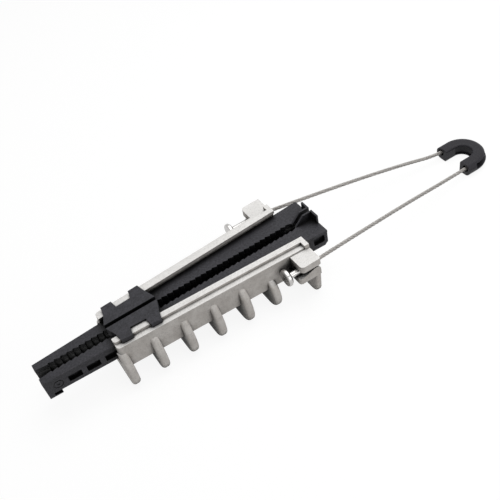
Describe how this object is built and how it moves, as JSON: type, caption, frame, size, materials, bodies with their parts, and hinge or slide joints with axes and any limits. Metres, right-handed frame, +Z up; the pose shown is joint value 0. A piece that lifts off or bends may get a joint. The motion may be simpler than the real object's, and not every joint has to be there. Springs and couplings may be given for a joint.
{
  "type": "cable anchoring clamp",
  "caption": "Wedge-type anchoring clamp: open ribbed aluminium body, two sliding toothed plastic wedges and a wire rope bail with a plastic saddle.",
  "frame": {"origin": "centre of the box round the clamp, on the surface that it stands on", "axes": "+X along the cable from the wedges' narrow end towards the bail, +Y towards wedge_left, +Z up, away from the feet of the ribs"},
  "size_m": [0.599, 0.1228, 0.0662],
  "materials": {
    "casting": "blasted",
    "wedge_plastic": "satin",
    "rope": "stranded",
    "ferrule": "turned",
    "saddle_plastic": "satin"
  },
  "bodies": {
    "body": {"body_casting": "casting"},
    "left_wedge": {"wedge_left": "wedge_plastic"},
    "right_wedge": {"wedge_right": "wedge_plastic"},
    "bail": {"bail_rope": "rope", "ferrule_left": "ferrule", "ferrule_right": "ferrule", "bail_saddle": "saddle_plastic"}
  },
  "joints": [
    {"name": "left_wedge_slide", "type": "slide", "parent": "body", "child": "left_wedge", "axis": [0.9989, 0.0465, 0], "range_m": [-0.038, 0.0628]},
    {"name": "right_wedge_slide", "type": "slide", "parent": "body", "child": "right_wedge", "axis": [0.9989, -0.0465, 0], "range_m": [-0.038, 0.0628]},
    {"name": "bail_swing", "type": "hinge", "parent": "body", "child": "bail", "pos_m": [-0.0115, 0, 0.0444], "axis": [0, -1, 0], "range_deg": [-2, 4]}
  ]
}
